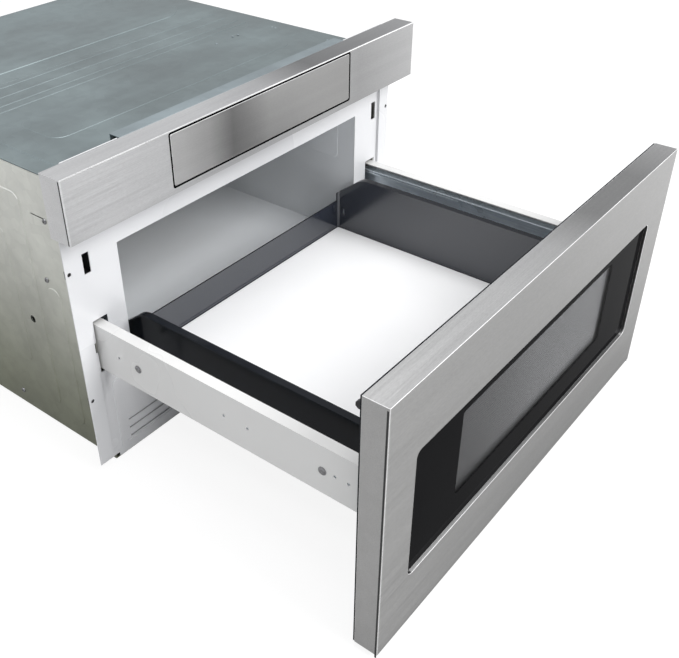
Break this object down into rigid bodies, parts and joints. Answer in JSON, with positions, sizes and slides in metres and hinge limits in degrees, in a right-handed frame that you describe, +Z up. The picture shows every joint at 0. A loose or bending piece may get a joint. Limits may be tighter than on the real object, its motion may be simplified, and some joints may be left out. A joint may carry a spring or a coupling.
{
  "type": "microwave drawer",
  "caption": "Built-in drawer microwave oven drawn open: steel control panel with tilting flap, white front frame and cavity, and a windowed drawer with a tray on telescopic slides.",
  "frame": {"origin": "middle of the whole width and length with the drawer open, on the underside of the base pan", "axes": "+X to the right seen from the front, +Y from the drawer front to the back panel, +Z up"},
  "size_m": [0.6064, 0.957, 0.4032],
  "materials": {
    "stainless": "brushed level, satin",
    "galvanised": "galvanised sheet",
    "white_paint": "gloss white",
    "cavity_paint": "light grey enamel",
    "zinc": "bright zinc",
    "black_enamel": "gloss black",
    "black_plastic": "satin",
    "black_glass": "polished, dark tint",
    "screen": "perforated sheet",
    "ceramic": "white glass ceramic",
    "mica": "mica sheet",
    "board": "lacquered board",
    "aluminium": "pressed sheet",
    "copper": "varnished winding",
    "laminations": "varnished sheets",
    "steel": "plated",
    "nylon": "moulded"
  },
  "bodies": {
    "casing": {"front_frame": "white_paint", "cavity_wrapper": "cavity_paint", "cavity_ceiling": "cavity_paint", "cavity_back_wall": "cavity_paint", "base_pan": "galvanised", "right_side_panel": "galvanised", "left_side_panel": "galvanised", "back_panel": "galvanised", "cord_gland": "black_plastic", "top_cover_front": "galvanised", "top_cover_rear": "galvanised", "panel_top_bracket": "galvanised", "control_panel_trim": "stainless", "control_housing": "black_plastic", "control_board": "board", "right_rail_bracket": "galvanised", "left_rail_bracket": "galvanised", "right_cabinet_slide_member": "zinc", "left_cabinet_slide_member": "zinc", "right_latch_receiver": "black_plastic", "left_latch_receiver": "black_plastic", "drive_motor": "steel", "drive_motor_bracket": "galvanised", "waveguide": "aluminium", "magnetron": "aluminium", "stirrer_motor": "steel", "stirrer_cover": "mica", "transformer_core": "laminations", "transformer_coil": "copper", "high_voltage_capacitor": "aluminium", "cooling_fan_frame": "black_plastic"},
    "drawer": {"drawer_front_skin": "stainless", "outer_window_glass": "black_glass", "window_screen": "screen", "drawer_front_core": "black_plastic", "drawer_inner_panel": "black_enamel", "inner_window_glass": "black_glass", "choke_cover": "black_plastic", "drawer_tray": "black_enamel", "ceramic_base_plate": "ceramic", "right_drawer_channel": "white_paint", "left_drawer_channel": "white_paint", "right_drawer_slide_member": "zinc", "left_drawer_slide_member": "zinc", "right_latch_hook": "black_plastic", "left_latch_hook": "black_plastic", "drive_rack": "nylon"},
    "right_mid_slide": {"right_intermediate_slide_member": "zinc"},
    "left_mid_slide": {"left_intermediate_slide_member": "zinc"},
    "flap": {"control_flap": "stainless", "flap_carrier": "black_plastic", "touch_control_glass": "black_glass"},
    "pinion": {"drive_pinion": "nylon"},
    "stirrer_rotor": {"stirrer": "aluminium"},
    "fan_rotor": {"cooling_fan_impeller": "black_plastic"}
  },
  "joints": [
    {"name": "drawer_slide", "type": "slide", "parent": "casing", "child": "drawer", "axis": [0, 1, 0], "range_m": [0, 0.3819]},
    {"name": "right_slide_extension", "type": "slide", "parent": "casing", "child": "right_mid_slide", "axis": [0, 1, 0], "range_m": [0, 0.191]},
    {"name": "left_slide_extension", "type": "slide", "parent": "casing", "child": "left_mid_slide", "axis": [0, 1, 0], "range_m": [0, 0.191]},
    {"name": "pinion_spin", "type": "hinge", "parent": "casing", "child": "pinion", "pos_m": [0.244, -0.02655, 0.13], "axis": [0, 0, 1], "range_deg": [0, 1824]},
    {"name": "control_flap_hinge", "type": "hinge", "parent": "casing", "child": "flap", "pos_m": [0, -0.09355, 0.3425], "axis": [1, 0, 0], "range_deg": [0, 45]},
    {"name": "stirrer_spin", "type": "hinge", "parent": "casing", "child": "stirrer_rotor", "pos_m": [0.052, 0.14345, 0.3], "axis": [0, 0, 1], "continuous": true},
    {"name": "cooling_fan_spin", "type": "hinge", "parent": "casing", "child": "fan_rotor", "pos_m": [0.14, 0.45, 0.19], "axis": [0, 1, 0], "continuous": true}
  ],
  "couplings": [
    {"joint": "right_slide_extension", "follows": "drawer_slide", "ratio": 0.5},
    {"joint": "left_slide_extension", "follows": "drawer_slide", "ratio": 0.5},
    {"joint": "pinion_spin", "follows": "drawer_slide", "rad_per_m": 83.333}
  ]
}
